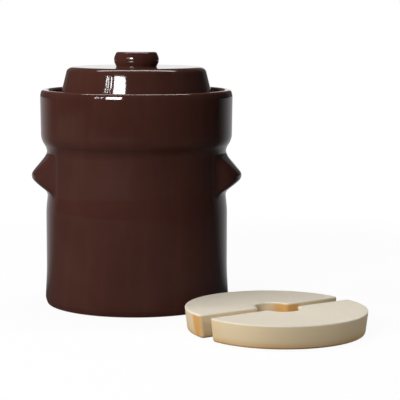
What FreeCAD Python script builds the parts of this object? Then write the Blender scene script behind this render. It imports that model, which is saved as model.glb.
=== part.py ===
import FreeCAD, Part
import math
import os

# A stoneware fermentation crock with a water gutter, its loose lid, and the two
# half-moon weighting stones that come with it. Millimetres, +Z up, the origin at
# the centre of the crock's base, on the surface that everything stands on.
# -Y is the front, and the lugs point along -X and +X.

# Crock, outside
RIM_HEIGHT = 240.7
BARREL_RADIUS = 102.3
FOOT_FLARE = 1.6
FOOT_FLARE_HEIGHT = 38.0
FOOT_BEVEL_WIDTH = 2.0
FOOT_BEVEL_HEIGHT = 6.0
FOOT_ROUNDING = 8.0
FOOT_EDGE_ROUNDING = 1.2
SHOULDER_BELOW_LUG_TIP = 29.0
SHOULDER_RISE = 12.0
SHOULDER_ROUNDING = 38.0
THROAT_INSET = 1.9
COLLAR_OVERHANG = 5.7
COLLAR_DEPTH = 60.9
COLLAR_DRAFT = 0.6
COLLAR_UNDERSIDE_RISE = 9.5
COLLAR_UNDERSIDE_ROUNDING = 17.5
SOFT_ROUNDING = 300.0

# Crock, walls and inside
BARREL_WALL = 9.0
FLOOR_THICKNESS = 10.0
INSIDE_ROUNDING = 14.0
RIM_WALL = 9.0
RIM_BEVEL_HEIGHT = 6.0
RIM_BEVEL_WIDTH = 1.5
RIM_BEVEL_ROUNDING = 12.0
RIM_OUTER_ROUNDING = 3.4
RIM_INNER_ROUNDING = 3.5
GUTTER_DEPTH = 44.0
GUTTER_FLOOR_THICKNESS = 9.0
GUTTER_ROUNDING = 5.0
ROOF_SLOPE = 8.0
NECK_WALL = 7.0
NECK_HEIGHT = 35.0
NECK_LIP_ROUNDING = 3.2
NECK_ROOT_ROUNDING = 6.0

# Lugs, one each side
LUG_PROJECTION = 18.6
LUG_HALF_SPAN = 45.0
LUG_TIP_BELOW_COLLAR = 36.4
LUG_TIP_ROUNDING = 6.0
LUG_EDGE_ROUNDING = 2.0
LUG_RISE_ABOVE_TIP = 25.5
LUG_DROP_BELOW_TIP = 17.3
LUG_ROOT_DEPTH = 6.0
LUG_BLEND = 5.0
LUG_ROOT_RUN = 2.6

# Lid
LID_GUTTER_GAP = 11.0
LID_NECK_GAP = 5.5
LID_WALL = 7.5
LID_TOP_THICKNESS = 8.0
LID_HEIGHT = 69.4
LID_WALL_CURVE = 216.0
LID_EDGE_ROUNDING = 9.5
LID_INNER_ROUNDING = 5.0
LID_FOOT_ROUNDING = 2.0
KNOB_HEIGHT = 16.9
KNOB_BASE_RADIUS = 22.3
KNOB_BELLY_RADIUS = 26.4
KNOB_BELLY_HEIGHT = 7.4
KNOB_TOP_RADIUS = 22.4
KNOB_BELLY_ROUNDING = 10.0
KNOB_TOP_ROUNDING = 3.0
KNOB_BLEND = 1.0

# Weighting stones, lying on the floor beside the crock
STONE_CLEARANCE = 3.5
STONE_THICKNESS = 24.4
STONE_DRAFT = 3.0
STONE_GRIP_RADIUS = 18.5
STONE_GRIP_SHIFT = 2.5
STONE_CORNER_ROUNDING = 3.5
STONE_TOP_ROUNDING = 1.6
STONE_FOOT_ROUNDING = 2.6
STONE_SLOT_WIDTH = 16.5
STONE_SLOT_ANGLE = 34.8
STONES_BEARING = -47.6
STONES_FLOOR_GAP = 29.3

# What follows from them
collar_radius = BARREL_RADIUS + COLLAR_OVERHANG
throat_radius = BARREL_RADIUS - THROAT_INSET
foot_radius = BARREL_RADIUS + FOOT_FLARE
inside_radius = BARREL_RADIUS - BARREL_WALL
gutter_radius = collar_radius - RIM_WALL
gutter_floor = RIM_HEIGHT - GUTTER_DEPTH
collar_foot = RIM_HEIGHT - COLLAR_DEPTH
lug_tip_height = collar_foot - LUG_TIP_BELOW_COLLAR
shoulder_height = lug_tip_height - SHOULDER_BELOW_LUG_TIP
lid_foot_radius = gutter_radius - LID_GUTTER_GAP
neck_radius = lid_foot_radius - LID_WALL - LID_NECK_GAP
mouth_radius = neck_radius - NECK_WALL
lid_top = gutter_floor + LID_HEIGHT
stone_radius = inside_radius - STONE_CLEARANCE

UP = FreeCAD.Vector(0, 0, 1)
CENTRE = FreeCAD.Vector(0, 0, 0)


def profile_point(radius, height):
    """A point of a turned outline, drawn in the plane of +Y and +Z."""
    return FreeCAD.Vector(0, radius, height)


def rounded_face(corners):
    """The flat face inside (radius, height, rounding) corners, each rounded by a tangent arc."""
    points = [profile_point(radius, height) for radius, height, rounding in corners]
    bends = []
    for index, (radius, height, rounding) in enumerate(corners):
        corner = points[index]
        back = (points[index - 1] - corner).normalize()
        ahead = (points[(index + 1) % len(points)] - corner).normalize()
        if rounding == 0:
            bends.append((corner, corner, corner))
            continue
        half_angle = back.getAngle(ahead) / 2
        reach = rounding / math.tan(half_angle)
        inward = (back + ahead).normalize()
        middle = corner + inward * (rounding / math.sin(half_angle) - rounding)
        bends.append((corner + back * reach, middle, corner + ahead * reach))
    edges = []
    for index, (start, middle, end) in enumerate(bends):
        if start.distanceToPoint(end) > 1e-6:
            edges.append(Part.Arc(start, middle, end).toShape())
        next_start = bends[(index + 1) % len(bends)][0]
        if end.distanceToPoint(next_start) > 1e-6:
            edges.append(Part.LineSegment(end, next_start).toShape())
    return Part.Face(Part.Wire(edges))


def turned(face):
    """The solid that a face makes when it is turned once round the Z axis."""
    return face.revolve(CENTRE, UP, 360)


def circles_at(shape, height, radius):
    """The round edges about the Z axis at one height and radius."""
    found = []
    for edge in shape.Edges:
        curve = edge.Curve
        if not isinstance(curve, Part.Circle):
            continue
        if abs(curve.Radius - radius) < 1e-3 and abs(curve.Center.z - height) < 1e-3:
            found.append(edge)
    return found


def crock_wall():
    """The turned wall: foot, barrel, soft shoulder, throat, collar, gutter, neck and inside."""
    shoulder_low = shoulder_height - SHOULDER_RISE / 2
    shoulder_high = shoulder_height + SHOULDER_RISE / 2
    collar_low = collar_foot - COLLAR_UNDERSIDE_RISE / 2
    collar_high = collar_foot + COLLAR_UNDERSIDE_RISE / 2
    neck_top = gutter_floor + NECK_HEIGHT
    roof = gutter_floor - GUTTER_FLOOR_THICKNESS
    return turned(rounded_face([
        (0, 0, 0),
        (foot_radius - FOOT_BEVEL_WIDTH, 0, FOOT_EDGE_ROUNDING),
        (foot_radius, FOOT_BEVEL_HEIGHT, FOOT_ROUNDING),
        (BARREL_RADIUS, FOOT_FLARE_HEIGHT, SOFT_ROUNDING),
        (BARREL_RADIUS, shoulder_low, SHOULDER_ROUNDING),
        (throat_radius, shoulder_high, SHOULDER_ROUNDING),
        (throat_radius, collar_low, COLLAR_UNDERSIDE_ROUNDING),
        (collar_radius - COLLAR_DRAFT, collar_high, COLLAR_UNDERSIDE_ROUNDING),
        (collar_radius, RIM_HEIGHT - RIM_BEVEL_HEIGHT, RIM_BEVEL_ROUNDING),
        (collar_radius - RIM_BEVEL_WIDTH, RIM_HEIGHT, RIM_OUTER_ROUNDING),
        (gutter_radius, RIM_HEIGHT, RIM_INNER_ROUNDING),
        (gutter_radius, gutter_floor, GUTTER_ROUNDING),
        (neck_radius, gutter_floor, GUTTER_ROUNDING),
        (neck_radius, neck_top, NECK_LIP_ROUNDING),
        (mouth_radius, neck_top, NECK_LIP_ROUNDING),
        (mouth_radius, roof, NECK_ROOT_ROUNDING),
        (inside_radius, roof - ROOF_SLOPE, INSIDE_ROUNDING),
        (inside_radius, FLOOR_THICKNESS, INSIDE_ROUNDING),
        (0, FLOOR_THICKNESS, 0),
    ]))


def lug(side):
    """One lug: part of a ring with sloping flanks, cut to a rounded end seen from above."""
    tip_reach = BARREL_RADIUS + LUG_PROJECTION
    root_reach = math.sqrt(throat_radius ** 2 - LUG_HALF_SPAN ** 2)
    axis_reach = (tip_reach ** 2 - throat_radius ** 2) / (2 * (tip_reach - root_reach))
    low = lug_tip_height - LUG_DROP_BELOW_TIP
    high = lug_tip_height + LUG_RISE_ABOVE_TIP
    buried_radius = throat_radius - LUG_ROOT_DEPTH
    ring = turned(rounded_face([
        (buried_radius, low - LUG_ROOT_RUN, 0),
        (throat_radius, low - LUG_ROOT_RUN, 0),
        (throat_radius, low, LUG_BLEND),
        (tip_reach, lug_tip_height, LUG_TIP_ROUNDING),
        (throat_radius, high, LUG_BLEND),
        (throat_radius, high + LUG_ROOT_RUN, 0),
        (buried_radius, high + LUG_ROOT_RUN, 0),
    ]))
    plan = Part.makeCylinder(tip_reach - axis_reach, RIM_HEIGHT, FreeCAD.Vector(0, axis_reach, 0))
    body = ring.common(plan)
    end_edges = [edge for edge in body.Edges if runs_over_slope(edge)]
    body = body.makeFillet(LUG_EDGE_ROUNDING, end_edges)
    body.rotate(CENTRE, UP, -90 * side)
    return body


def runs_over_slope(edge):
    """True for the edges where a lug's rounded end cuts its sloping flanks."""
    box = edge.BoundBox
    return box.XLength > 1 and box.YLength > 1 and box.ZLength > 1


def make_crock():
    """The crock: its turned wall with both lugs joined to the throat."""
    return crock_wall().fuse([lug(-1), lug(1)]).removeSplitter()


def lid_wall_radius(height):
    """The lid's outer radius at a height above its foot; the wall leans in more and more."""
    return lid_foot_radius - height ** 2 / (2 * LID_WALL_CURVE)


def bell(inset, top):
    """A solid bell under the lid's outer wall, moved in by inset and closed at a height."""
    foot = profile_point(lid_foot_radius - inset, gutter_floor)
    middle = profile_point(lid_wall_radius(top / 2) - inset, gutter_floor + top / 2)
    edge = profile_point(lid_wall_radius(top) - inset, gutter_floor + top)
    crown = profile_point(0, gutter_floor + top)
    base = profile_point(0, gutter_floor)
    outline = [
        Part.LineSegment(base, foot).toShape(),
        Part.Arc(foot, middle, edge).toShape(),
        Part.LineSegment(edge, crown).toShape(),
        Part.LineSegment(crown, base).toShape(),
    ]
    return turned(Part.Face(Part.Wire(outline)))


def make_lid():
    """The lid: a hollow bell that stands on the gutter's floor, with its knob."""
    outside = bell(0, LID_HEIGHT)
    outside = outside.makeFillet(
        LID_EDGE_ROUNDING, circles_at(outside, lid_top, lid_wall_radius(LID_HEIGHT)))
    inner_height = LID_HEIGHT - LID_TOP_THICKNESS
    inside = bell(LID_WALL, inner_height)
    inside = inside.makeFillet(
        LID_INNER_ROUNDING,
        circles_at(inside, gutter_floor + inner_height, lid_wall_radius(inner_height) - LID_WALL))
    shell = outside.cut(inside)
    foot_edges = (circles_at(shell, gutter_floor, lid_foot_radius)
                  + circles_at(shell, gutter_floor, lid_foot_radius - LID_WALL))
    shell = shell.makeFillet(LID_FOOT_ROUNDING, foot_edges)
    knob = turned(rounded_face([
        (0, lid_top - LID_TOP_THICKNESS / 2, 0),
        (KNOB_BASE_RADIUS, lid_top - LID_TOP_THICKNESS / 2, 0),
        (KNOB_BASE_RADIUS, lid_top, 0),
        (KNOB_BELLY_RADIUS, lid_top + KNOB_BELLY_HEIGHT, KNOB_BELLY_ROUNDING),
        (KNOB_TOP_RADIUS, lid_top + KNOB_HEIGHT, KNOB_TOP_ROUNDING),
        (0, lid_top + KNOB_HEIGHT, 0),
    ]))
    lid = shell.fuse(knob).removeSplitter()
    return lid.makeFillet(KNOB_BLEND, circles_at(lid, lid_top, KNOB_BASE_RADIUS))


def level_edges(shape, height):
    """The edges that lie wholly at one height."""
    return [edge for edge in shape.Edges
            if abs(edge.BoundBox.ZMin - height) < 1e-3 and abs(edge.BoundBox.ZMax - height) < 1e-3]


def make_stone(side):
    """Half of a round slab with a grip notch in its flat side; side is -1 behind the slot, +1 in front."""
    slab = Part.makeCone(stone_radius - STONE_DRAFT, stone_radius, STONE_THICKNESS)
    slab.rotate(CENTRE, UP, -90)
    keep = Part.makeBox(4 * stone_radius, 2 * stone_radius, 2 * STONE_THICKNESS)
    keep.translate(FreeCAD.Vector(-2 * stone_radius, 0, -STONE_THICKNESS / 2))
    half = slab.common(keep)
    notch = Part.makeCylinder(STONE_GRIP_RADIUS, 2 * STONE_THICKNESS)
    notch.translate(FreeCAD.Vector(-side * STONE_GRIP_SHIFT, 0, -STONE_THICKNESS / 2))
    stone = half.cut(notch)
    corners = [edge for edge in stone.Edges
               if edge.BoundBox.ZLength > STONE_THICKNESS / 2
               and max(abs(vertex.Y) for vertex in edge.Vertexes) < 0.01]
    stone = stone.makeFillet(STONE_CORNER_ROUNDING, corners)
    stone = stone.makeFillet(STONE_TOP_ROUNDING, level_edges(stone, STONE_THICKNESS))
    stone = stone.makeFillet(STONE_FOOT_ROUNDING, level_edges(stone, 0))
    stone.translate(FreeCAD.Vector(0, STONE_SLOT_WIDTH / 2, 0))
    turn = STONE_SLOT_ANGLE if side < 0 else STONE_SLOT_ANGLE + 180
    stone.rotate(CENTRE, UP, turn)
    away = foot_radius + stone_radius + STONES_FLOOR_GAP
    bearing = math.radians(STONES_BEARING)
    stone.translate(FreeCAD.Vector(away * math.cos(bearing), away * math.sin(bearing), 0))
    return stone


pieces = {
    "crock": make_crock(),
    "lid": make_lid(),
    "rear_stone": make_stone(-1),
    "front_stone": make_stone(1),
}

os.makedirs("parts", exist_ok=True)
for name, shape in pieces.items():
    solid = shape.Solids[0]
    print(name, "solids", len(shape.Solids), "valid", solid.isValid(), "volume", round(solid.Volume))
    solid.exportStep("parts/" + name + ".step")
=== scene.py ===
import math
import random

import bmesh
import bpy
from mathutils import Matrix, Vector


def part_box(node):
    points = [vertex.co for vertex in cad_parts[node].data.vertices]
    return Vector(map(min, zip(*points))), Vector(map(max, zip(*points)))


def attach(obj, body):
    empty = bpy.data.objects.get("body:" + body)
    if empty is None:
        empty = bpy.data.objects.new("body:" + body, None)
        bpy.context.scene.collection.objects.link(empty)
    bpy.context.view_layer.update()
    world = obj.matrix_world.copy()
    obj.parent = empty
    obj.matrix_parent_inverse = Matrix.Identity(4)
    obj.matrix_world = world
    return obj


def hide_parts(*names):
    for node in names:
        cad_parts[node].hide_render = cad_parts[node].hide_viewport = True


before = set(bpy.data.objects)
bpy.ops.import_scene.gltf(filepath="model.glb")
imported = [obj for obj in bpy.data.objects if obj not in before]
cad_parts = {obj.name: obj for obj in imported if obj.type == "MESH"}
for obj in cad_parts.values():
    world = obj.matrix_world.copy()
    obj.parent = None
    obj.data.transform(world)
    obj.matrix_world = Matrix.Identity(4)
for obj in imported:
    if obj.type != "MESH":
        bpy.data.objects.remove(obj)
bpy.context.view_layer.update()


# ---------------------------------------------------------------- the pot
# A thick stoneware pot, jollied in one piece: foot, barrel, soft shoulder, throat and a
# wide collar that hides the water gutter and the neck. Both lugs are pressed on while the
# clay is soft and smoothed into the throat, then the whole is dipped in dark brown glaze.

pot_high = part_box("crock")[1]
rim_height = pot_high.z
collar_radius = pot_high.y
throat_radius = collar_radius - 0.0076
barrel_radius = collar_radius - 0.0057
foot_radius = collar_radius - 0.0041
gutter_radius = collar_radius - 0.009
inside_radius = barrel_radius - 0.009

lid_low, lid_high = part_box("lid")
gutter_floor = lid_low.z
neck_radius = collar_radius - 0.033
mouth_radius = neck_radius - 0.007
neck_height = gutter_floor + 0.035
floor_thickness = 0.01
collar_foot = rim_height - 0.0609
lug_height = collar_foot - 0.0364
shoulder_height = lug_height - 0.028
bare_foot_height = 0.0006


def draw_outline(bm, corners):
    """A line through (radius, height, rounding) corners, each rounded off by a bevel."""
    points = [bm.verts.new((radius, 0, height)) for radius, height, rounding in corners]
    for start, end in zip(points, points[1:]):
        bm.edges.new((start, end))
    for point, (radius, height, rounding) in zip(points, corners):
        if rounding == 0:
            continue
        back, ahead = [edge.other_vert(point).co - point.co for edge in point.link_edges]
        inner_angle = back.angle(ahead)
        segments = max(3, math.ceil((math.pi - inner_angle) / math.radians(11)))
        bmesh.ops.bevel(bm, geom=[point], offset=rounding / math.tan(inner_angle / 2),
                        segments=segments, profile=0.5, affect="VERTICES", material=-1)


def divide_long_edges(bm, step):
    """Adds points along the straight runs, so that reflections glide over them."""
    for edge in bm.edges[:]:
        cuts = int(edge.calc_length() / step)
        if cuts:
            bmesh.ops.subdivide_edges(bm, edges=[edge], cuts=cuts)


def turn_outline(bm, steps):
    """Turns the outline once round the upright axis and closes its poles."""
    bmesh.ops.spin(bm, geom=bm.verts[:] + bm.edges[:], cent=(0, 0, 0), axis=(0, 0, 1),
                   angle=math.tau, steps=steps, use_merge=True)
    bmesh.ops.remove_doubles(bm, verts=bm.verts[:], dist=1e-5)
    bmesh.ops.recalc_face_normals(bm, faces=bm.faces[:])


def finish_piece(bm, name, materials):
    """Makes the mesh a smooth object with its materials."""
    for face in bm.faces:
        face.smooth = True
    mesh = bpy.data.meshes.new(name)
    bm.to_mesh(mesh)
    bm.free()
    for material in materials:
        mesh.materials.append(material)
    piece = bpy.data.objects.new(name, mesh)
    bpy.context.scene.collection.objects.link(piece)
    return piece


def smooth_step(low, high, value):
    """0 below low, 1 above high, and an even slope between them."""
    share = min(max((value - low) / (high - low), 0), 1)
    return share * share * (3 - 2 * share)


def smooth_larger(first, second, blend):
    """The larger of two lengths, with a soft fillet where they meet."""
    overlap = max(blend - abs(first - second), 0) / blend
    return max(first, second) + overlap * overlap * blend / 4


pot = bmesh.new()
draw_outline(pot, [
    (0, 0, 0),
    (foot_radius - 0.002, 0, 0.0012),
    (foot_radius, 0.006, 0.008),
    (barrel_radius, 0.038, 0.3),
    (barrel_radius, shoulder_height - 0.009, 0.07),
    (throat_radius, shoulder_height + 0.009, 0.07),
    (throat_radius, collar_foot - 0.00475, 0.0175),
    (collar_radius - 0.0006, collar_foot + 0.00475, 0.0175),
    (collar_radius, rim_height - 0.006, 0.012),
    (collar_radius - 0.0015, rim_height, 0.003),
    (gutter_radius, rim_height, 0.0035),
    (gutter_radius, gutter_floor, 0.005),
    (neck_radius, gutter_floor, 0.005),
    (neck_radius, neck_height, 0.0032),
    (mouth_radius, neck_height, 0.0032),
    (mouth_radius, gutter_floor - 0.009, 0.006),
    (inside_radius, gutter_floor - 0.017, 0.014),
    (inside_radius, floor_thickness, 0.014),
    (0, floor_thickness, 0),
])
throat_run = max(
    (edge for edge in pot.edges
     if all(abs(vert.co.x - throat_radius) < 1e-4 for vert in edge.verts)),
    key=lambda edge: edge.calc_length())
lug_rows = int(throat_run.calc_length() / 0.0009)
bmesh.ops.subdivide_edges(pot, edges=[throat_run], cuts=lug_rows)
divide_long_edges(pot, 0.005)
turn_outline(pot, 320)

# The lugs are drawn out of the wall. Each is part of a ring with sloping flanks, cut to a
# rounded end seen from above, with every edge softened by hand.
lug_reach = barrel_radius + 0.0193
lug_half_span = 0.045
lug_root = math.sqrt(throat_radius ** 2 - lug_half_span ** 2)
lug_axis = (lug_reach ** 2 - throat_radius ** 2) / (2 * (lug_reach - lug_root))
lug_end = lug_reach - lug_axis
lug_rise = 0.0255
lug_drop = 0.0173
lug_room = 0.034
lug_slope_above = (lug_reach - throat_radius) / lug_rise
lug_slope_below = (lug_reach - throat_radius) / lug_drop
lug_tip_softness = 0.0096
lug_end_softness = 0.007
lug_blend = 0.005
thin_share = 0.2
thin_glaze = pot.verts.layers.float.new("thin_glaze")
for vert in pot.verts:
    radius = math.hypot(vert.co.x, vert.co.y)
    height = vert.co.z
    vert[thin_glaze] = thin_share * smooth_step(rim_height - 0.0025, rim_height - 0.0005, height)
    if radius < throat_radius - 0.001 or abs(height - lug_height) > lug_room:
        continue
    bearing = math.atan2(vert.co.y, abs(vert.co.x))
    across = lug_axis * math.sin(bearing)
    if abs(across) >= lug_end:
        continue
    above = (height - lug_height) * lug_slope_above
    below = (lug_height - height) * lug_slope_below
    ring = lug_reach - smooth_larger(above, below, lug_tip_softness)
    rounded_end = lug_axis * math.cos(bearing) + math.sqrt(lug_end ** 2 - across ** 2)
    drawn_out = -smooth_larger(-ring, -rounded_end, lug_end_softness)
    new_radius = smooth_larger(radius, drawn_out, lug_blend)
    vert.co.x *= new_radius / radius
    vert.co.y *= new_radius / radius
for face in pot.faces:
    if face.calc_center_median().z < bare_foot_height:
        face.material_index = 1


def new_material(name):
    """An empty node material with its shader joined to the output."""
    material = bpy.data.materials.new(name)
    material.use_nodes = True
    shader = material.node_tree.nodes["Principled BSDF"]
    return material, material.node_tree, shader


def add_node(tree, kind, **settings):
    """A node with some of its settings and inputs given by name."""
    node = tree.nodes.new(kind)
    for key, value in settings.items():
        if hasattr(node, key):
            setattr(node, key, value)
        else:
            node.inputs[key.replace("_", " ")].default_value = value
    return node


def make_mottle_group():
    """Soft clouds and faint upright runs, as glaze makes where it pooled and ran."""
    group = bpy.data.node_groups.new("glaze_mottle", "ShaderNodeTree")
    group.interface.new_socket("Cloud Size", in_out="INPUT", socket_type="NodeSocketFloat")
    group.interface.new_socket("Clouds", in_out="OUTPUT", socket_type="NodeSocketFloat")
    group.interface.new_socket("Runs", in_out="OUTPUT", socket_type="NodeSocketFloat")
    inputs = group.nodes.new("NodeGroupInput")
    outputs = group.nodes.new("NodeGroupOutput")
    place = group.nodes.new("ShaderNodeTexCoord")
    clouds = add_node(group, "ShaderNodeTexNoise", Detail=4.0, Roughness=0.55)
    stretch = add_node(group, "ShaderNodeMapping")
    stretch.inputs["Scale"].default_value = (1.0, 1.0, 0.12)
    runs = add_node(group, "ShaderNodeTexNoise", Scale=70.0, Detail=3.0, Roughness=0.5)
    group.links.new(place.outputs["Object"], clouds.inputs["Vector"])
    group.links.new(inputs.outputs["Cloud Size"], clouds.inputs["Scale"])
    group.links.new(place.outputs["Object"], stretch.inputs["Vector"])
    group.links.new(stretch.outputs["Vector"], runs.inputs["Vector"])
    group.links.new(clouds.outputs["Fac"], outputs.inputs["Clouds"])
    group.links.new(runs.outputs["Fac"], outputs.inputs["Runs"])
    return group


def make_ripple_group():
    """The height of a fired glaze: slow waves left by the throwing, and fine orange peel."""
    group = bpy.data.node_groups.new("glaze_ripple", "ShaderNodeTree")
    group.interface.new_socket("Height", in_out="OUTPUT", socket_type="NodeSocketFloat")
    outputs = group.nodes.new("NodeGroupOutput")
    place = group.nodes.new("ShaderNodeTexCoord")
    waves = add_node(group, "ShaderNodeTexNoise", Scale=22.0, Detail=1.0, Roughness=0.4)
    peel = add_node(group, "ShaderNodeTexNoise", Scale=260.0, Detail=2.0, Roughness=0.5)
    peel_depth = add_node(group, "ShaderNodeMath", operation="MULTIPLY_ADD")
    peel_depth.inputs[1].default_value = 0.045
    group.links.new(place.outputs["Object"], waves.inputs["Vector"])
    group.links.new(place.outputs["Object"], peel.inputs["Vector"])
    group.links.new(peel.outputs["Fac"], peel_depth.inputs[0])
    group.links.new(waves.outputs["Fac"], peel_depth.inputs[2])
    group.links.new(peel_depth.outputs[0], outputs.inputs["Height"])
    return group


mottle_group = make_mottle_group()
ripple_group = make_ripple_group()


def make_brown_glaze():
    """Dark red-brown gloss glaze, warmer where it is thin over an edge."""
    material, tree, shader = new_material("brown_glaze")
    mottle = add_node(tree, "ShaderNodeGroup", node_tree=mottle_group)
    mottle.inputs["Cloud Size"].default_value = 14.0
    clouds = add_node(tree, "ShaderNodeMapRange", From_Min=0.3, From_Max=0.7)
    body = add_node(tree, "ShaderNodeMix", data_type="RGBA")
    body.inputs["A"].default_value = (0.050, 0.0158, 0.0112, 1)
    body.inputs["B"].default_value = (0.063, 0.0222, 0.0160, 1)
    runs = add_node(tree, "ShaderNodeMapRange", From_Min=0.5, From_Max=0.75, To_Max=0.35)
    streaked = add_node(tree, "ShaderNodeMix", data_type="RGBA")
    streaked.inputs["B"].default_value = (0.075, 0.029, 0.021, 1)
    thin = add_node(tree, "ShaderNodeAttribute", attribute_name="thin_glaze")
    edged = add_node(tree, "ShaderNodeMix", data_type="RGBA")
    edged.inputs["B"].default_value = (0.12, 0.05, 0.034, 1)
    gloss = add_node(tree, "ShaderNodeMapRange",
                     From_Min=0.3, From_Max=0.75, To_Min=0.04, To_Max=0.09)
    ripple = add_node(tree, "ShaderNodeGroup", node_tree=ripple_group)
    bump = add_node(tree, "ShaderNodeBump", Strength=0.5, Distance=0.0006)
    links = tree.links
    links.new(mottle.outputs["Clouds"], clouds.inputs["Value"])
    links.new(clouds.outputs["Result"], body.inputs["Factor"])
    links.new(mottle.outputs["Runs"], runs.inputs["Value"])
    links.new(runs.outputs["Result"], streaked.inputs["Factor"])
    links.new(body.outputs["Result"], streaked.inputs["A"])
    links.new(thin.outputs["Fac"], edged.inputs["Factor"])
    links.new(streaked.outputs["Result"], edged.inputs["A"])
    links.new(edged.outputs["Result"], shader.inputs["Base Color"])
    links.new(mottle.outputs["Clouds"], gloss.inputs["Value"])
    links.new(gloss.outputs["Result"], shader.inputs["Roughness"])
    links.new(ripple.outputs["Height"], bump.inputs["Height"])
    links.new(bump.outputs["Normal"], shader.inputs["Normal"])
    return material


def make_clay_group():
    """Fired clay: sandy grain, darker specks and small pits."""
    group = bpy.data.node_groups.new("clay_grain", "ShaderNodeTree")
    for name in ("Grain", "Specks", "Height"):
        group.interface.new_socket(name, in_out="OUTPUT", socket_type="NodeSocketFloat")
    outputs = group.nodes.new("NodeGroupOutput")
    place = group.nodes.new("ShaderNodeTexCoord")
    grain = add_node(group, "ShaderNodeTexNoise", Scale=420.0, Detail=5.0, Roughness=0.6)
    pits = add_node(group, "ShaderNodeTexVoronoi", Scale=230.0)
    pit_mask = add_node(group, "ShaderNodeMapRange",
                        From_Min=0.06, From_Max=0.2, To_Min=1.0, To_Max=0.0)
    soft = add_node(group, "ShaderNodeTexNoise", Scale=60.0, Detail=2.0, Roughness=0.5)
    dips = add_node(group, "ShaderNodeMath", operation="MULTIPLY_ADD")
    dips.inputs[1].default_value = -0.6
    lumps = add_node(group, "ShaderNodeMath", operation="ADD")
    for node in (grain, pits, soft):
        group.links.new(place.outputs["Object"], node.inputs["Vector"])
    group.links.new(pits.outputs["Distance"], pit_mask.inputs["Value"])
    group.links.new(pit_mask.outputs["Result"], dips.inputs[0])
    group.links.new(grain.outputs["Fac"], dips.inputs[2])
    group.links.new(dips.outputs[0], lumps.inputs[0])
    group.links.new(soft.outputs["Fac"], lumps.inputs[1])
    group.links.new(grain.outputs["Fac"], outputs.inputs["Grain"])
    group.links.new(pit_mask.outputs["Result"], outputs.inputs["Specks"])
    group.links.new(lumps.outputs[0], outputs.inputs["Height"])
    return group


clay_group = make_clay_group()


def make_bare_clay():
    """The wiped foot, where the stoneware shows without glaze."""
    material, tree, shader = new_material("bare_clay")
    clay = add_node(tree, "ShaderNodeGroup", node_tree=clay_group)
    colour = add_node(tree, "ShaderNodeMix", data_type="RGBA")
    colour.inputs["A"].default_value = (0.3, 0.22, 0.15, 1)
    colour.inputs["B"].default_value = (0.42, 0.33, 0.24, 1)
    shader.inputs["Roughness"].default_value = 0.85
    bump = add_node(tree, "ShaderNodeBump", Strength=0.4, Distance=0.0004)
    tree.links.new(clay.outputs["Grain"], colour.inputs["Factor"])
    tree.links.new(colour.outputs["Result"], shader.inputs["Base Color"])
    tree.links.new(clay.outputs["Height"], bump.inputs["Height"])
    tree.links.new(bump.outputs["Normal"], shader.inputs["Normal"])
    return material


brown_glaze = make_brown_glaze()
bare_clay = make_bare_clay()
pot_piece = finish_piece(pot, "pot", [brown_glaze, bare_clay])
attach(pot_piece, "root")
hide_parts("crock")


# ---------------------------------------------------------------- the lid
# A hollow bell of the same stoneware and glaze, turned with its flat-topped knob. It is
# loose: its open foot stands on the floor of the gutter, under the sealing water.

knob_height = 0.0169
lid_foot_radius = lid_high.x
lid_top = lid_high.z - knob_height
lid_height = lid_top - gutter_floor
lid_wall = 0.0075
lid_top_thickness = 0.008
lid_curve_radius = 0.216
lean = lid_height / lid_curve_radius
lid_shoulder_radius = lid_foot_radius - lean * lid_height / 2
lid_middle = gutter_floor + lid_height / 2
lid_wall_curve = 0.2
inner_top = lid_top - lid_top_thickness
inner_shoulder = lid_shoulder_radius + lean * lid_top_thickness - lid_wall

lid = bmesh.new()
draw_outline(lid, [
    (0, inner_top, 0),
    (inner_shoulder, inner_top, 0.005),
    (lid_foot_radius - lid_wall, lid_middle, lid_wall_curve),
    (lid_foot_radius - lid_wall, gutter_floor, 0.002),
    (lid_foot_radius, gutter_floor, 0.002),
    (lid_foot_radius, lid_middle, lid_wall_curve),
    (lid_shoulder_radius, lid_top, 0.0085),
    (0.0223, lid_top, 0.0008),
    (0.0264, lid_top + 0.0074, 0.0095),
    (0.0224, lid_high.z - 0.0003, 0.003),
    (0, lid_high.z, 0),
])
divide_long_edges(lid, 0.004)
turn_outline(lid, 256)
lid_piece = finish_piece(lid, "bell_lid", [brown_glaze])
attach(lid_piece, "root")
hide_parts("lid")


# ------------------------------------------------------- the weighting stones
# Two half-moons of unglazed pale stoneware, pressed and fettled by hand, that keep the
# food under the brine. The walls taper inward to the underside, and a grip notch is cut
# in each flat side. The kiln has toasted the lower edges and some corners to ochre.

stone_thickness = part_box("rear_stone")[1].z
stone_radius = inside_radius - 0.0035
stone_taper = (stone_radius - 0.003) / stone_radius
stone_slot = 0.0165
notch_radius = 0.0185
notch_shift = 0.0025
stones_turn = math.radians(34.8)
stones_bearing = math.radians(-47.6)
stones_gap = 0.0293
stones_away = foot_radius + stone_radius + stones_gap
stones_middle = Vector((math.cos(stones_bearing), math.sin(stones_bearing), 0)) * stones_away


def on_stones(x, y):
    """A place on the table, from a place measured along and across the slot between the stones."""
    return stones_middle + Matrix.Rotation(stones_turn, 3, "Z") @ Vector((x, y, 0.012))


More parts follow.
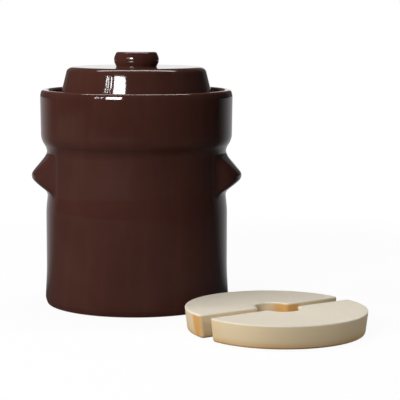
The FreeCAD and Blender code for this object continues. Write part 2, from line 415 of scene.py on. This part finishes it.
def make_fired_clay():
    """Pale, dry stoneware: its sides came out tan, and the kiln toasted some corners."""
    material, tree, shader = new_material("fired_clay")
    links = tree.links
    clay = add_node(tree, "ShaderNodeGroup", node_tree=clay_group)
    grained = add_node(tree, "ShaderNodeMix", data_type="RGBA")
    grained.inputs["A"].default_value = (0.64, 0.57, 0.46, 1)
    grained.inputs["B"].default_value = (0.72, 0.66, 0.55, 1)
    place = tree.nodes.new("ShaderNodeTexCoord")
    height = tree.nodes.new("ShaderNodeSeparateXYZ")
    side = add_node(tree, "ShaderNodeMapRange", interpolation_type="SMOOTHSTEP",
                    From_Min=stone_thickness - 0.0008, From_Max=stone_thickness - 0.0024)
    sided = add_node(tree, "ShaderNodeMix", data_type="RGBA")
    sided.inputs["B"].default_value = (0.68, 0.54, 0.34, 1)
    cloud = add_node(tree, "ShaderNodeTexNoise", Scale=24.0, Detail=3.0, Roughness=0.55)
    foot = add_node(tree, "ShaderNodeMapRange", interpolation_type="SMOOTHSTEP",
                    From_Min=0.009, From_Max=0.0005, To_Max=1.3)
    foot_toast = add_node(tree, "ShaderNodeMath", operation="MULTIPLY")
    toasted = add_node(tree, "ShaderNodeMix", data_type="RGBA")
    toasted.inputs["B"].default_value = (0.62, 0.33, 0.10, 1)
    specked = add_node(tree, "ShaderNodeMix", data_type="RGBA")
    specked.inputs["B"].default_value = (0.4, 0.33, 0.24, 1)
    speck_share = add_node(tree, "ShaderNodeMath", operation="MULTIPLY")
    speck_share.inputs[1].default_value = 0.12
    links.new(clay.outputs["Grain"], grained.inputs["Factor"])
    links.new(grained.outputs["Result"], sided.inputs["A"])
    links.new(place.outputs["Object"], height.inputs[0])
    links.new(height.outputs["Z"], side.inputs["Value"])
    links.new(side.outputs["Result"], sided.inputs["Factor"])
    links.new(place.outputs["Object"], cloud.inputs["Vector"])
    links.new(height.outputs["Z"], foot.inputs["Value"])
    links.new(foot.outputs["Result"], foot_toast.inputs[0])
    links.new(cloud.outputs["Fac"], foot_toast.inputs[1])
    toast = foot_toast
    flattened = add_node(tree, "ShaderNodeVectorMath", operation="MULTIPLY")
    flattened.inputs[1].default_value = (1, 1, 0.2)
    links.new(place.outputs["Object"], flattened.inputs[0])
    for corner, reach, share in (
            (on_stones(-stone_radius - 0.001, stone_slot), 0.0115, 1.0),
            (on_stones(0.0235, 0.011), 0.02, 1.0),
            (on_stones(-stone_radius + 0.004, -0.012), 0.016, 0.15),
            (on_stones(-0.0185, -0.011), 0.012, 0.35)):
        apart = add_node(tree, "ShaderNodeVectorMath", operation="DISTANCE")
        apart.inputs[1].default_value = (corner.x, corner.y, 0.0024)
        spot = add_node(tree, "ShaderNodeMapRange", interpolation_type="SMOOTHSTEP",
                        From_Min=reach, From_Max=reach * 0.4, To_Max=share)
        more = add_node(tree, "ShaderNodeMath", operation="MAXIMUM")
        links.new(flattened.outputs["Vector"], apart.inputs[0])
        links.new(apart.outputs["Value"], spot.inputs["Value"])
        links.new(spot.outputs["Result"], more.inputs[0])
        links.new(toast.outputs[0], more.inputs[1])
        toast = more
    toast_on_side = add_node(tree, "ShaderNodeMath", operation="MULTIPLY")
    links.new(toast.outputs[0], toast_on_side.inputs[0])
    links.new(side.outputs["Result"], toast_on_side.inputs[1])
    links.new(sided.outputs["Result"], toasted.inputs["A"])
    links.new(toast_on_side.outputs[0], toasted.inputs["Factor"])
    links.new(clay.outputs["Specks"], speck_share.inputs[0])
    links.new(speck_share.outputs[0], specked.inputs["Factor"])
    links.new(toasted.outputs["Result"], specked.inputs["A"])
    links.new(specked.outputs["Result"], shader.inputs["Base Color"])
    shader.inputs["Roughness"].default_value = 0.8
    shader.inputs["Specular IOR Level"].default_value = 0.3
    bump = add_node(tree, "ShaderNodeBump", Strength=0.35, Distance=0.0003)
    links.new(clay.outputs["Height"], bump.inputs["Height"])
    links.new(bump.outputs["Normal"], shader.inputs["Normal"])
    return material


def arc(bm, centre_x, radius, from_angle, to_angle, steps):
    """Spins a point about an upright axis into a line; gives its first and last points."""
    start = Vector((centre_x + radius * math.cos(from_angle), radius * math.sin(from_angle), 0))
    first = bm.verts.new(start)
    spun = bmesh.ops.spin(bm, geom=[first], cent=(centre_x, 0, 0), axis=(0, 0, 1),
                          angle=to_angle - from_angle, steps=steps)
    last = [item for item in spun["geom_last"] if isinstance(item, bmesh.types.BMVert)][0]
    return first, last


def make_half_stone(name, shift, turn):
    """One half: its plan is drawn flat, drawn up to its thickness, tapered and softened."""
    bm = bmesh.new()
    clear = 0.005 / stone_radius
    notch_clear = 0.0046 / notch_radius
    right, left = arc(bm, 0, stone_radius, clear, math.pi - clear, 96)
    notch_left, notch_right = arc(
        bm, shift, notch_radius, math.pi - notch_clear, notch_clear, 28)
    corners = [bm.verts.new((x, 0, 0)) for x in (
        -stone_radius, shift - notch_radius, shift + notch_radius, stone_radius)]
    for ends in ((left, corners[0]), (corners[0], corners[1]), (corners[1], notch_left),
                 (notch_right, corners[2]), (corners[2], corners[3]), (corners[3], right)):
        bm.edges.new(ends)
    for corner in corners:
        bmesh.ops.bevel(bm, geom=[corner], offset=0.0035, segments=6, profile=0.5,
                        affect="VERTICES", material=-1)
    plan = bmesh.ops.contextual_create(bm, geom=bm.edges[:])["faces"][0]
    raised = bmesh.ops.extrude_face_region(bm, geom=[plan])
    top = [item for item in raised["geom"] if isinstance(item, bmesh.types.BMVert)]
    bmesh.ops.translate(bm, verts=top, vec=(0, 0, stone_thickness))
    for vert in bm.verts:
        if vert.co.z < 1e-6 and vert.co.length > stone_radius * 0.9:
            vert.co *= stone_taper
    bmesh.ops.recalc_face_normals(bm, faces=bm.faces[:])
    top_rim = [edge for edge in bm.edges if min(v.co.z for v in edge.verts) > stone_thickness - 1e-5]
    bmesh.ops.bevel(bm, geom=top_rim, offset=0.0016, segments=4, profile=0.5,
                    affect="EDGES", material=-1)
    foot_rim = [edge for edge in bm.edges if max(v.co.z for v in edge.verts) < 1e-5]
    bmesh.ops.bevel(bm, geom=foot_rim, offset=0.0026, segments=4, profile=0.5,
                    affect="EDGES", material=-1)
    flats = [face for face in bm.faces if len(face.verts) > 20]
    bmesh.ops.inset_region(bm, faces=flats, thickness=0.0015)
    bmesh.ops.triangulate(bm, faces=[face for face in bm.faces if len(face.verts) > 4])
    place = Matrix.Translation(stones_middle) @ Matrix.Rotation(turn, 4, "Z")
    place = place @ Matrix.Translation((0, stone_slot / 2, 0))
    bmesh.ops.transform(bm, matrix=place, verts=bm.verts[:])
    return finish_piece(bm, name, [fired_clay])


fired_clay = make_fired_clay()
stone_pieces = {
    "rear_stone": make_half_stone("rear_half_stone", notch_shift, stones_turn),
    "front_stone": make_half_stone("front_half_stone", -notch_shift, stones_turn + math.pi),
}
for node, piece in stone_pieces.items():
    piece.visible_glossy = False  # left out of the reflections in the glaze
    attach(piece, "root")
    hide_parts(node)


# ---------------------------------------------------------------- the floor
# A plain pale table top with a dull paint. It looks white to the eye and keeps a soft
# contact shadow. The glaze mirrors only a little of it in front, and half of it behind.

floor = bmesh.new()
floor_radius = 6
bmesh.ops.create_circle(floor, cap_ends=True, radius=floor_radius, segments=96)
floor_material, floor_tree, floor_shader = new_material("pale_table")
floor_shader.inputs["Roughness"].default_value = 1.0
floor_shader.inputs["Specular IOR Level"].default_value = 0.0
floor_shader.inputs["Emission Color"].default_value = (1, 1, 1, 1)
floor_shader.inputs["Base Color"].default_value = (0.06, 0.06, 0.06, 1)
floor_rays = floor_tree.nodes.new("ShaderNodeLightPath")
mirrored = add_node(floor_tree, "ShaderNodeMath", operation="MULTIPLY")
toward = add_node(floor_tree, "ShaderNodeVectorMath", operation="NORMALIZE")
toward_back = floor_tree.nodes.new("ShaderNodeSeparateXYZ")
lit_behind = add_node(floor_tree, "ShaderNodeMapRange", interpolation_type="SMOOTHSTEP",
                      From_Min=0.35, From_Max=0.95, To_Min=0.015, To_Max=0.5)
seen_straight = add_node(floor_tree, "ShaderNodeMath", operation="ADD")
seen_at_all = add_node(floor_tree, "ShaderNodeMath", operation="ADD")
floor_place = floor_tree.nodes.new("ShaderNodeTexCoord")
far_off = add_node(floor_tree, "ShaderNodeVectorMath", operation="LENGTH")
glow = add_node(floor_tree, "ShaderNodeMapRange", interpolation_type="SMOOTHSTEP",
                From_Min=0.4, From_Max=1.3, To_Min=0.93, To_Max=1.0)
seen = add_node(floor_tree, "ShaderNodeMath", operation="MULTIPLY")
floor_tree.links.new(floor_rays.outputs["Is Camera Ray"], seen_straight.inputs[0])
floor_tree.links.new(floor_rays.outputs["Is Transmission Ray"], seen_straight.inputs[1])
floor_tree.links.new(floor_place.outputs["Object"], toward.inputs[0])
floor_tree.links.new(toward.outputs["Vector"], toward_back.inputs[0])
floor_tree.links.new(toward_back.outputs["Y"], lit_behind.inputs["Value"])
floor_tree.links.new(floor_rays.outputs["Is Glossy Ray"], mirrored.inputs[0])
floor_tree.links.new(lit_behind.outputs["Result"], mirrored.inputs[1])
floor_tree.links.new(seen_straight.outputs[0], seen_at_all.inputs[0])
floor_tree.links.new(mirrored.outputs[0], seen_at_all.inputs[1])
floor_tree.links.new(floor_place.outputs["Object"], far_off.inputs[0])
floor_tree.links.new(far_off.outputs["Value"], glow.inputs["Value"])
floor_tree.links.new(glow.outputs["Result"], seen.inputs[1])
floor_tree.links.new(seen_at_all.outputs[0], seen.inputs[0])
floor_tree.links.new(seen.outputs[0], floor_shader.inputs["Emission Strength"])
floor_piece = finish_piece(floor, "floor", [floor_material])


# ------------------------------------------------------- the studio and the camera
# To the eye the room is white all round. To the pieces it is dim, and the glaze mirrors a
# white wall behind. A softbox stands to the front left beside the slats of a window blind,
# a long one hangs overhead, a wide fill comes from the left, and a small lamp with a grid
# lights the stones. The fill and the small lamp are left out of the reflections.

world = bpy.data.worlds.new("studio")
bpy.context.scene.world = world
world.use_nodes = True
room = world.node_tree
background = room.nodes["Background"]
direction = room.nodes.new("ShaderNodeTexCoord")
split = room.nodes.new("ShaderNodeSeparateXYZ")
behind = add_node(room, "ShaderNodeMapRange", interpolation_type="SMOOTHSTEP",
                  From_Min=0.972, From_Max=0.984)
beside = add_node(room, "ShaderNodeMapRange", interpolation_type="SMOOTHSTEP",
                  From_Min=0.7, From_Max=0.9, To_Max=0.1)
brighter = add_node(room, "ShaderNodeMath", operation="MAXIMUM")
below_ceiling = add_node(room, "ShaderNodeMapRange", interpolation_type="SMOOTHSTEP",
                         From_Min=0.75, From_Max=0.6)
wall = add_node(room, "ShaderNodeMath", operation="MULTIPLY")
room_rays = room.nodes.new("ShaderNodeLightPath")
wall_mirrored = add_node(room, "ShaderNodeMath", operation="MULTIPLY")
looked_at = add_node(room, "ShaderNodeMath", operation="ADD")
white_share = add_node(room, "ShaderNodeMath", operation="ADD")
shown = add_node(room, "ShaderNodeMix", data_type="RGBA")
shown.inputs["A"].default_value = (0.03, 0.03, 0.03, 1)
shown.inputs["B"].default_value = (1, 1, 1, 1)
room.links.new(direction.outputs["Generated"], split.inputs[0])
room.links.new(split.outputs["Y"], behind.inputs["Value"])
room.links.new(split.outputs["Z"], below_ceiling.inputs["Value"])
room.links.new(split.outputs["Y"], beside.inputs["Value"])
room.links.new(behind.outputs["Result"], brighter.inputs[0])
room.links.new(beside.outputs["Result"], brighter.inputs[1])
room.links.new(brighter.outputs[0], wall.inputs[0])
room.links.new(below_ceiling.outputs["Result"], wall.inputs[1])
room.links.new(room_rays.outputs["Is Glossy Ray"], wall_mirrored.inputs[0])
room.links.new(wall.outputs[0], wall_mirrored.inputs[1])
room.links.new(room_rays.outputs["Is Camera Ray"], looked_at.inputs[0])
room.links.new(room_rays.outputs["Is Transmission Ray"], looked_at.inputs[1])
room.links.new(looked_at.outputs[0], white_share.inputs[0])
room.links.new(wall_mirrored.outputs[0], white_share.inputs[1])
room.links.new(white_share.outputs[0], shown.inputs["Factor"])
room.links.new(shown.outputs["Result"], background.inputs["Color"])


def hang_lamp(name, place, target, width, height, power):
    """A rectangular lamp that the eye does not see, aimed from its place at a target."""
    light = bpy.data.lights.new(name, "AREA")
    light.shape = "RECTANGLE"
    light.size = width
    light.size_y = height
    light.energy = power
    lamp = bpy.data.objects.new(name, light)
    lamp.location = place
    lamp.rotation_euler = (place - target).to_track_quat("Z", "Y").to_euler()
    lamp.visible_camera = False
    bpy.context.scene.collection.objects.link(lamp)
    return lamp


def hang_softbox(name, bearing, elevation, distance, width, height, power):
    """A softbox aimed at the middle of the pot. Angles in degrees; bearing 0 is in front."""
    target = Vector((0, 0, 0.2))
    bearing = math.radians(bearing)
    elevation = math.radians(elevation)
    flat = math.cos(elevation) * distance
    place = target + Vector((
        math.sin(bearing) * flat, -math.cos(bearing) * flat, math.sin(elevation) * distance))
    return hang_lamp(name, place, target, width, height, power)


hang_softbox("key_softbox", -24.5, 20, 2.0, 0.6, 0.41, 28.5)
hang_softbox("overhead_softbox", 0, 104, 1.6, 1.9, 0.26, 20.5)

blind = random.Random(7)
slat_height = 0.06
slat_brightness = 130
for bearing in (-46.5, -43, -39.5):
    for elevation in (17.5, 20.5, 23.5):
        width = blind.uniform(0.03, 0.06)
        hang_softbox("window_blind", bearing + blind.uniform(-0.8, 0.8), elevation, 2.2,
                     width, slat_height, slat_brightness * width * slat_height)

left_fill = hang_softbox("left_fill", -84, 15, 2.4, 1.6, 1.6, 32)
left_fill.visible_glossy = False
low_grid = hang_lamp("low_grid", Vector((0.75, -0.33, 0.22)), Vector((0.2, -0.2, 0.01)),
                     0.12, 0.12, 0.017)
low_grid.data.spread = math.radians(12)
low_grid.visible_glossy = False

camera_place = Vector((0.07154, -1.72212, 0.32795))
camera_dip = 7.034
camera_roll = 0.12
camera_data = bpy.data.cameras.new("camera")
camera_data.lens = 137.74
camera_data.sensor_width = 36
camera = bpy.data.objects.new("camera", camera_data)
camera.matrix_world = (
    Matrix.Translation(camera_place)
    @ Matrix.Rotation(math.radians(90 - camera_dip), 4, "X")
    @ Matrix.Rotation(math.radians(camera_roll), 4, "Z"))
bpy.context.scene.collection.objects.link(camera)
bpy.context.scene.camera = camera
bpy.context.scene.view_settings.view_transform = "Standard"
